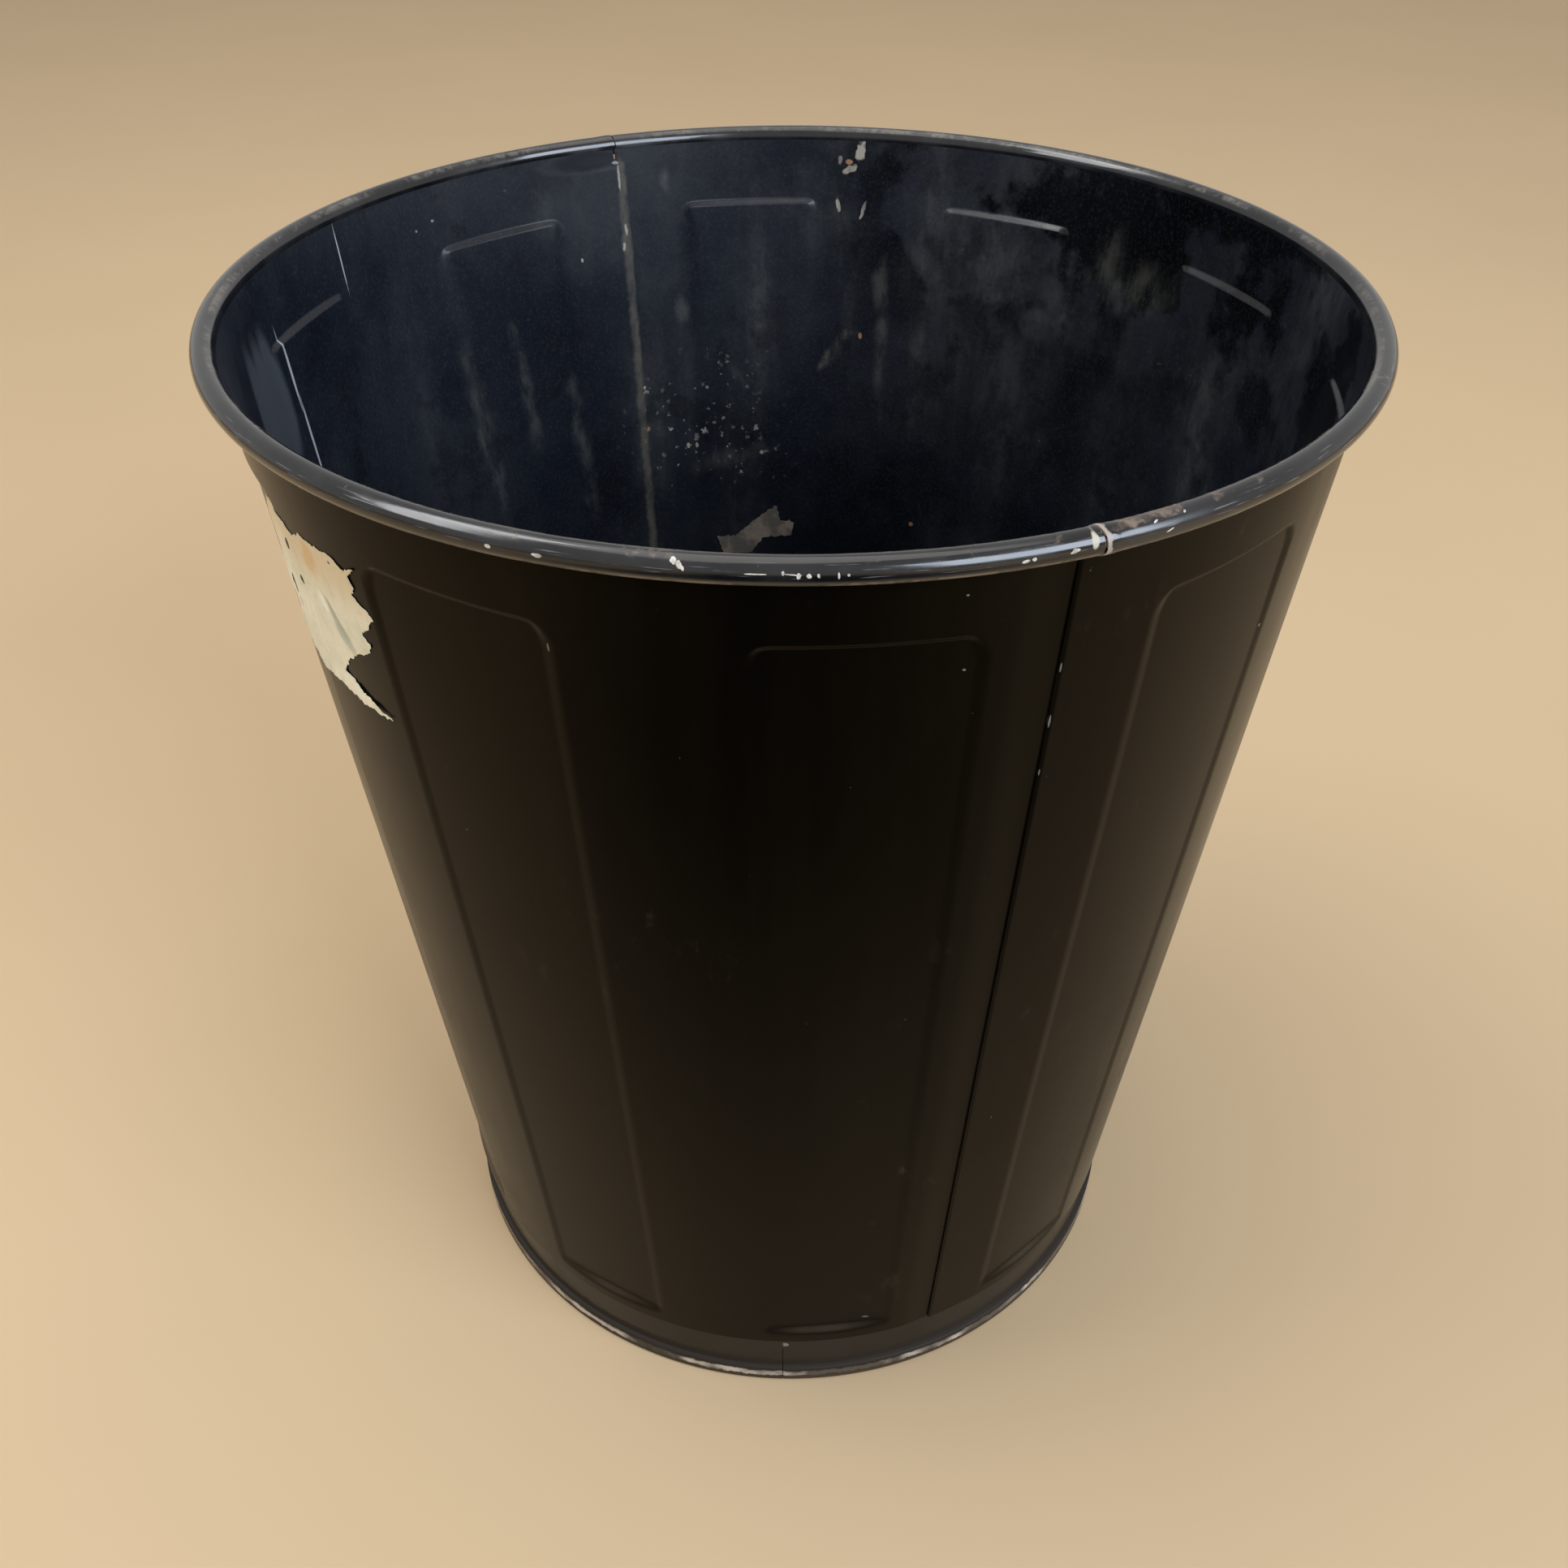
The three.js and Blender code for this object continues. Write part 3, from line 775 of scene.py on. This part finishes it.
def hoop_paint():
    look = Surface("hoop_paint")
    cloud = look.noise(30, detail=5, offset=6)
    fine = look.noise(300, detail=4, roughness=0.65, offset=9)
    base = look.blend(look.between(cloud, 0.4, 0.7), (0.004, 0.0035, 0.003), (0.010, 0.008, 0.006))
    rough = look.between(cloud, 0.3, 0.75, 0.22, 0.4)
    peel = look.noise(500, detail=3, offset=7)
    look.set(Base_Color=base, Roughness=rough, IOR=1.35, Normal=look.bump(peel, 0.00004, 0.5))
    ragged = look.math("ADD", look.math("MULTIPLY", fine, 0.4), cloud)
    shaken = look.math("ADD", look.height(), look.between(fine, 0.3, 0.7, -0.0005, 0.0005))
    # Worn paint and painted highlight: a light band round the outer face of the hem.
    hem_wear_and_highlight = look.window(shaken, 0.0026, 0.0034, 0.0050, 0.0060)
    patchy = look.between(look.noise(34, detail=3, offset=17), 0.42, 0.56, 0.12, 1.0)
    patchy = look.math("MULTIPLY", patchy, look.between(ragged, 0.45, 0.7, 0.3, 1.0))
    worn = look.math("MULTIPLY", hem_wear_and_highlight, patchy)
    look.cover(look.math("MULTIPLY", worn, 0.85), (0.50, 0.43, 0.36), 0.45)
    # Painted shade: a dark band in the groove above the hem, over its top ledge.
    painted_groove_shade = look.window(shaken, 0.0058, 0.0066, 0.0095, 0.0115)
    look.cover(look.math("MULTIPLY", painted_groove_shade, 0.85), (0.014, 0.009, 0.005), 0.75)
    under = look.window(shaken, -0.002, -0.001, 0.0022, 0.0030)
    under = look.math("MULTIPLY", under, look.between(ragged, 0.5, 0.75, 0.35, 0.9))
    look.cover(under, (0.045, 0.027, 0.012), 0.7)
    place = on_circle(HOOP_RADIUS, HOOP_JOINT + 0.4, 20)
    bright = look.marks([(place, HOOP_JOINT, 2.4, 2.0, 0)], ragged=0.7)
    look.cover(look.math("MULTIPLY", bright, 0.5), (0.28, 0.27, 0.23), 0.5)
    return look.material


def paper():
    look = Surface("paper")
    fibre = look.noise(250, detail=4, stretch=(1, 1, 2))
    stain = look.noise(60, detail=4, offset=8)
    streaks = look.noise(170, detail=3, stretch=(1, 1, 0.2), offset=14)
    base = look.blend(look.between(stain, 0.35, 0.75), (0.70, 0.66, 0.50), (0.60, 0.57, 0.41))
    base = look.blend(look.between(streaks, 0.45, 0.75, 0.0, 0.55), base, (0.46, 0.41, 0.27))
    grime = look.noise(420, detail=5, roughness=0.75, offset=23)
    base = look.blend(look.between(grime, 0.5, 0.8, 0.0, 0.6), base, (0.40, 0.33, 0.21))
    base = look.blend(look.between(fibre, 0.5, 0.8, 0.0, 0.4), base, (0.74, 0.71, 0.60))
    tanned = look.between(look.height(), 0.308, 0.326, 0.0, 0.75)
    base = look.blend(tanned, base, (0.56, 0.42, 0.25))
    # Painted shadow along the label's upright fold.
    painted_fold_shadow = look.marks([spot_outside(-47.0, 306.4, 2.6, 17, -34)], ragged=0.4, scale=150.0, soft=0.5)
    base = look.blend(look.math("MULTIPLY", painted_fold_shadow, 0.6), base, (0.17, 0.165, 0.12))
    look.set(Base_Color=base, Roughness=0.85, Normal=look.bump(streaks, 0.0004, 0.5))
    toned = look.marks([spot_outside(-49.5, 323, 7, 9, 12)], ragged=0.9, scale=150.0, soft=0.4)
    look.cover(look.math("MULTIPLY", toned, 0.6), (0.56, 0.33, 0.13), 0.8)
    holes = look.marks(
        [
            spot_outside(-54.8, 320.7, 2.2, 3.6, 10),
            spot_outside(-53.6, 311.6, 2.4, 2.8, 10),
            spot_outside(-45.2, 326.8, 1.0, 0.8),
            spot_outside(-59.2, 303.0, 3.4, 6.0, 0),
            spot_outside(-58.6, 297.0, 2.4, 3.6, -10),
        ],
        ragged=0.5, scale=500.0,
    )
    look.cover(holes, (0.025, 0.018, 0.01), 0.6)
    return look.material


def old_patch():
    look = Surface("old_patch")
    fibre = look.noise(250, detail=4, stretch=(1, 1, 2))
    stain = look.noise(90, detail=5, roughness=0.7, offset=8)
    base = look.blend(look.between(stain, 0.4, 0.6), (0.085, 0.073, 0.06), (0.19, 0.15, 0.115))
    look.set(Base_Color=base, Roughness=0.85, Normal=look.bump(fibre, 0.00008, 0.6))
    return look.material


def plain_wire():
    look = Surface("wire")
    drawn = look.noise(400, detail=3, stretch=(0.1, 0.1, 1))
    base = look.blend(look.between(drawn, 0.3, 0.7), (0.16, 0.12, 0.09), (0.30, 0.28, 0.25))
    look.set(Base_Color=base, Metallic=0.9, Roughness=look.between(drawn, 0.3, 0.7, 0.35, 0.6))
    return look.material


OUTER, INNER, RIM, HOOP = outer_paint(), inner_paint(), rim_paint(), hoop_paint()
PAPER, PATCH, WIRE = paper(), old_patch(), plain_wire()

# --- shells --------------------------------------------------------------------------------------


def panel_centre(number):
    return FIRST_PANEL + number * PANEL_PITCH


def flat_strip(azimuth):
    """The right shell is flatter than round from the front seam to its first panel, so its edge
    stands out a little."""
    start, stop = FRONT_SEAM["right"], panel_centre(1) - PANEL_HALF_ANGLE
    end_level = np.cos(np.radians(stop - STRIP_FACING))
    level = end_level / np.cos(np.radians(azimuth - STRIP_FACING)) - 1
    return np.where((azimuth >= start - 0.01) & (azimuth <= stop), level * STRIP_BOW, 0.0)


right_columns = shell_columns(
    FRONT_SEAM["right"], BACK_SEAM["right"], [panel_centre(n) for n in range(1, 6)],
    [(FRONT_SEAM["right"], 24.6), (203.4, BACK_SEAM["right"])],
)
right = shell(
    "right_shell_skin",
    right_columns,
    (FRONT_SEAM["right"], FRONT_SEAM["joint"] + JOINT_HALF_GAP),
    (BACK_SEAM["right"], BACK_SEAM["joint"] - JOINT_HALF_GAP),
    lambda azimuth: np.zeros_like(azimuth),
    flat_strip,
    [OUTER, INNER, RIM],
)

back_lap = BACK_SEAM["right"] + 0.3
front_lap = FULL_TURN + FRONT_SEAM["right"] - 0.3
left_columns = shell_columns(
    BACK_SEAM["left"], FULL_TURN + FRONT_SEAM["left"], [panel_centre(n) for n in range(6, 11)],
    [
        (BACK_SEAM["left"], 204.6), (back_lap, back_lap + LAP_RAMP),
        (front_lap - LAP_RAMP, front_lap), (FULL_TURN + 23.0, FULL_TURN + FRONT_SEAM["left"]),
    ],
)
left = shell(
    "left_shell_skin",
    left_columns,
    (BACK_SEAM["left"], BACK_SEAM["joint"] + JOINT_HALF_GAP),
    (FULL_TURN + FRONT_SEAM["left"], FULL_TURN + FRONT_SEAM["joint"] - JOINT_HALF_GAP),
    lambda azimuth: np.maximum(
        1 - smooth(azimuth, back_lap, back_lap + LAP_RAMP),
        smooth(azimuth, front_lap - LAP_RAMP, front_lap),
    ),
    lambda azimuth: np.zeros_like(azimuth),
    [OUTER, INNER, RIM],
)

# --- hoop, pan and wire --------------------------------------------------------------------------


def arc(centre, radius, start, stop, count):
    """Points of an arc in a section, as (radius, height) pairs; angles in degrees."""
    return [
        (centre[0] + radius * math.cos(math.radians(a)), centre[1] + radius * math.sin(math.radians(a)))
        for a in np.linspace(start, stop, count)
    ]


def even_rows(outline, count):
    """The same outline with count points evenly spaced along it."""
    points = np.array(outline, float)
    along = np.concatenate([[0], np.cumsum(np.hypot(*np.diff(points, axis=0).T))])
    places = np.linspace(0, along[-1], count)
    return np.stack([np.interp(places, along, points[:, i]) for i in (0, 1)], axis=1)


def hoop_skin():
    outside = [(LIP_RADIUS + 1.6, 0.0), (HEM_RADIUS - 1.3, 0.0)]
    outside += arc((HEM_RADIUS - 1.3, 1.3), 1.3, -90, 0, 8)
    outside += arc((HEM_RADIUS - 0.9, HEM_TOP - 0.9), 0.9, 0, 90, 8)
    outside += [(HOOP_RADIUS + 0.25, HEM_TOP + 0.05), (HOOP_RADIUS, HEM_TOP + 0.4)]
    outside += [(HOOP_RADIUS, HOOP_TOP)]
    inner = HOOP_RADIUS - SHEET
    inside = [(LIP_RADIUS, 0.0), (LIP_RADIUS, 1.3), (inner, 1.3), (inner, HOOP_TOP)]
    row_count = 90
    outer_rows = even_rows(outside, row_count)
    inner_rows = even_rows(inside, row_count)
    half_joint = 0.06
    azimuths = stepped(
        (HOOP_JOINT + half_joint, HOOP_JOINT + 4, 0.4),
        (HOOP_JOINT + 4, HOOP_JOINT + FULL_TURN - 4, 1.2),
        (HOOP_JOINT + FULL_TURN - 4, HOOP_JOINT + FULL_TURN - half_joint, 0.4),
    )
    sides = [
        on_circle(profile[None, :, 0], azimuths[:, None], profile[None, :, 1])
        for profile in (inner_rows, outer_rows)
    ]
    faces, slots = sheet_faces(len(azimuths), row_count, lambda side, row: 0)
    return mesh_object("base_hoop_skin", np.stack(sides).reshape(-1, 3), faces, [HOOP], slots)


def pan_skin():
    corner = 3.5
    top = [
        (r, PAN_TOP - PAN_SAG * math.sin(math.pi * r / PAN_FLAT_RADIUS) ** 2)
        for r in np.linspace(0, PAN_FLAT_RADIUS, 30)
    ]
    outline = top[:-1] + arc((PAN_RADIUS - corner, PAN_TOP - corner), corner, 90, 0, 8)
    outline += [(PAN_RADIUS, 1.8), (PAN_RADIUS - SHEET, 1.8)]
    outline += arc((PAN_RADIUS - corner, PAN_TOP - corner), corner - SHEET, 0, 90, 8)
    outline += [(r, z - SHEET) for r, z in reversed(top[:-1])]
    count = 180
    azimuths = np.arange(count) * FULL_TURN / count
    rows = np.array(outline[1:-1])
    ring = on_circle(rows[None, :, 0], azimuths[:, None], rows[None, :, 1]).reshape(-1, 3)
    vertices = np.concatenate([ring, [(0, 0, outline[0][1] * MM), (0, 0, outline[-1][1] * MM)]])
    centre_top, centre_under = len(ring), len(ring) + 1
    faces = []
    for i in range(count):
        this, following = i * len(rows), ((i + 1) % count) * len(rows)
        for j in range(len(rows) - 1):
            faces.append([this + j, this + j + 1, following + j + 1, following + j])
        faces.append([centre_top, this, following])
        faces.append([centre_under, following + len(rows) - 1, this + len(rows) - 1])
    return mesh_object("bottom_pan_skin", vertices, faces, [INNER])


hoop = hoop_skin()
pan = pan_skin()
for material_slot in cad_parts["rim_wire"].material_slots:
    material_slot.material = WIRE

# --- labels --------------------------------------------------------------------------------------


def torn_paper(name, outline, base_radius, lift, material, seed):
    """Torn paper on a wall. outline lists (azimuth, height) corners; base_radius(azimuth, height)
    is the radius of its back, and lift(azimuth, height) how far it has come loose."""
    source = random.Random(seed)
    scale = math.radians(1) * PAPER_RADIUS
    corners = [Vector((azimuth * scale, height)) for azimuth, height in outline]
    edge = []
    for here, there in zip(corners, corners[1:] + corners[:1]):
        count = max(1, int((there - here).length / TEAR_STEP))
        for i in range(count):
            jitter = Vector((source.gauss(0, TEAR_JITTER), source.gauss(0, TEAR_JITTER)))
            edge.append(here.lerp(there, i / count) + jitter)
    low = Vector((min(p.x for p in edge), min(p.y for p in edge)))
    high = Vector((max(p.x for p in edge), max(p.y for p in edge)))
    inner = [
        Vector((x, y))
        for x in np.arange(low.x, high.x, PAPER_PITCH)
        for y in np.arange(low.y, high.y, PAPER_PITCH)
    ]
    loop = [(i, (i + 1) % len(edge)) for i in range(len(edge))]
    points, _, triangles, _, _, _ = delaunay_2d_cdt(edge + inner, loop, [], 1, 0.05)
    flat = np.array([(p.x / scale, p.y) for p in points])
    azimuth, height = flat[:, 0], flat[:, 1]
    back = base_radius(azimuth, height) + lift(azimuth, height)
    front = back + PAPER_THICKNESS
    both = np.concatenate([on_circle(back, azimuth, height), on_circle(front, azimuth, height)])
    count = len(points)
    used = {}
    faces = []
    for a, b, c in triangles:
        turn = (points[b] - points[a]).cross(points[c] - points[a])
        ring = [a, b, c] if turn > 0 else [a, c, b]
        faces.append([count + i for i in ring])
        faces.append(ring[::-1])
        for i, j in zip(ring, ring[1:] + ring[:1]):
            used[(i, j)] = True
    for i, j in used:
        if (j, i) not in used:
            faces.append([i, j, count + j, count + i])
    return mesh_object(name, both, faces, [material], sharp=50)


def outside_wall(azimuth, height):
    return wall_radius(height) - panel_press(azimuth, height) + 0.1


def inside_wall(azimuth, height):
    return wall_radius(height) - panel_press(azimuth, height) - SHEET - 0.3


def label_lift(azimuth, height):
    """The label stands off at its upper right corner and its tail, and has one upright fold."""
    corner = 0.35 * smooth(height, 316, 330) * smooth(azimuth, -46, -41)
    tail = 0.4 * smooth(height, 289, 283) * smooth(azimuth, -62, -54)
    along = smooth(height, 296, 303) * (1 - smooth(height, 309, 315))
    off_fold = (azimuth + 47.9) * 2.65 + (height - 306.8) * 0.84
    fold = 0.8 * np.exp(-((off_fold / 1.3) ** 2)) * along
    waves = 0.12 * (1 + np.sin(azimuth * 2.3 + height * 0.05)) * smooth(height, 330, 300)
    return corner + tail + fold + waves


outside_label = torn_paper(
    "outside_label",
    [
        (-60.2, 327.8), (-58.2, 329.2), (-54.1, 328.0), (-52.5, 326.4), (-50.4, 328.8), (-47.9, 328.4),
        (-44.8, 329.2), (-42.9, 327.3), (-41.0, 329.3), (-42.4, 326.0), (-41.9, 322.8), (-42.7, 320.6),
        (-41.9, 318.6), (-40.9, 317.4), (-40.3, 315.6), (-41.6, 311.6), (-43.0, 308.0), (-42.0, 306.0),
        (-42.6, 302.5), (-45.0, 299.4), (-47.6, 294.0), (-49.3, 288.9), (-47.1, 287.4), (-45.4, 285.2),
        (-43.2, 283.5), (-41.5, 282.4), (-43.9, 281.9), (-47.1, 282.0), (-51.0, 282.9), (-56.6, 281.6),
        (-62.2, 280.2), (-63.0, 287.0), (-61.6, 293.0), (-62.8, 301.0), (-62.0, 312.0), (-62.6, 321.0),
    ],
    outside_wall,
    label_lift,
    PAPER,
    3,
)
inside_label = torn_paper(
    "inside_label",
    [
        (192.7, 198.5), (189.6, 198.5), (185.5, 206.3), (182.8, 211.0), (181.9, 204.2),
        (179.6, 203.4), (180.1, 197.6), (184.9, 197.0), (187.0, 190.5), (191.8, 190.9),
    ],
    inside_wall,
    lambda azimuth, height: 0.0 * azimuth,
    PATCH,
    4,
)

# --- what each piece stands for ------------------------------------------------------------------

for piece, node, slot in (
    (right, "right_shell", "outer_paint"),
    (left, "left_shell", "outer_paint"),
    (hoop, "base_hoop", "hoop_paint"),
    (pan, "bottom_pan", "inner_paint"),
    (outside_label, "outside_label_remnant", "paper"),
    (inside_label, "inside_label_remnant", "paper"),
):
    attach(piece, "root")
    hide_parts(node)

# --- studio --------------------------------------------------------------------------------------

RIM_CIRCLE = RIM_RADIUS * MM
CAMERA_BACK = 2.696 * RIM_CIRCLE
CAMERA_HEIGHT = 3.123 * RIM_CIRCLE
CAMERA_TILT = 37.38
CAMERA_PAN = -0.32
CAMERA_ROLL = 0.05

camera_data = bpy.data.cameras.new("camera")
camera_data.sensor_width = 36
camera_data.lens = 35.4
camera_data.clip_start = 0.01
camera = bpy.data.objects.new("camera", camera_data)
turn = Matrix.Rotation(math.radians(-CAMERA_PAN), 4, "Z")
turn = turn @ Matrix.Rotation(math.radians(90 - CAMERA_TILT), 4, "X")
turn = turn @ Matrix.Rotation(math.radians(CAMERA_ROLL), 4, "Z")
camera.matrix_world = Matrix.Translation((0, -CAMERA_BACK, CAMERA_HEIGHT)) @ turn
bpy.context.scene.collection.objects.link(camera)
bpy.context.scene.camera = camera


def area_light(name, place, aim, size, power, colour, roll=0):
    data = bpy.data.lights.new(name, "AREA")
    data.shape = "RECTANGLE"
    data.size, data.size_y = size
    data.energy = power
    data.color = colour
    made = bpy.data.objects.new(name, data)
    made.location = place
    facing = (Vector(aim) - Vector(place)).to_track_quat("-Z", "Y")
    made.rotation_euler = (facing @ Quaternion((0, 0, 1), math.radians(roll))).to_euler()
    bpy.context.scene.collection.objects.link(made)
    return made


area_light("ceiling", (-0.2, 0.3, 2.2), (0, 0, 0.2), (1.8, 1.8), 16, (1.0, 0.96, 0.90))
area_light("window", (1.57, -1.53, 1.35), (0, 0, 0.3), (1.82, 1.4), 80, (0.76, 0.86, 1.0))
area_light("side", (-1.23, -0.06, 1.72), (0, 0, 0.3), (1.8, 0.55), 22, (0.96, 0.98, 1.0), roll=-47)

world = bpy.data.worlds.new("world")
world.use_nodes = True
world.node_tree.nodes["Background"].inputs["Color"].default_value = (1.0, 0.98, 0.96, 1.0)
world.node_tree.nodes["Background"].inputs["Strength"].default_value = 0.7
bpy.context.scene.world = world
bpy.context.scene.view_settings.view_transform = "Standard"



def flat_mesh(name, low, high):
    """A level rectangle from its low corner to its high one, as (x, y) in metres."""
    mesh = bpy.data.meshes.new(name)
    corners = [(low[0], low[1], 0), (high[0], low[1], 0), (high[0], high[1], 0), (low[0], high[1], 0)]
    mesh.from_pydata(corners, [], [(0, 1, 2, 3)])
    return mesh


floor_mesh = flat_mesh("floor", (-4.0, -4.0), (4.0, 4.0))
floor_look = Surface("floor")
floor_grain = floor_look.noise(3, detail=5)
floor_look.set(
    Base_Color=floor_look.blend(floor_grain, (0.43, 0.315, 0.19), (0.47, 0.35, 0.215)),
    Roughness=0.7,
    Specular_IOR_Level=0.1,
)
floor_mesh.materials.append(floor_look.material)
floor = bpy.data.objects.new("floor", floor_mesh)
bpy.context.scene.collection.objects.link(floor)

# A dark soft-edged card in front of the can, which shows only in reflections, darkens the middle of
# the can's front.
card_mesh = flat_mesh("card", (-0.6, -1.8), (0.6, -0.15))
card_look = Surface("card")
sides = card_look.node("SeparateXYZ", {0: card_look.position}).outputs
across = card_look.between(card_look.math("ABSOLUTE", sides[0]), 0.50, 0.14)
along = card_look.between(sides[1], -0.16, -0.42)
card_look.set(Base_Color=(0.004, 0.004, 0.003, 1.0), Roughness=0.9, Specular_IOR_Level=0.1)
card_look.set(Alpha=card_look.math("MULTIPLY", across, along))
card_mesh.materials.append(card_look.material)
card = bpy.data.objects.new("card", card_mesh)
card.location.z = 0.001
card.visible_camera = False
card.visible_diffuse = False
card.visible_shadow = False
bpy.context.scene.collection.objects.link(card)
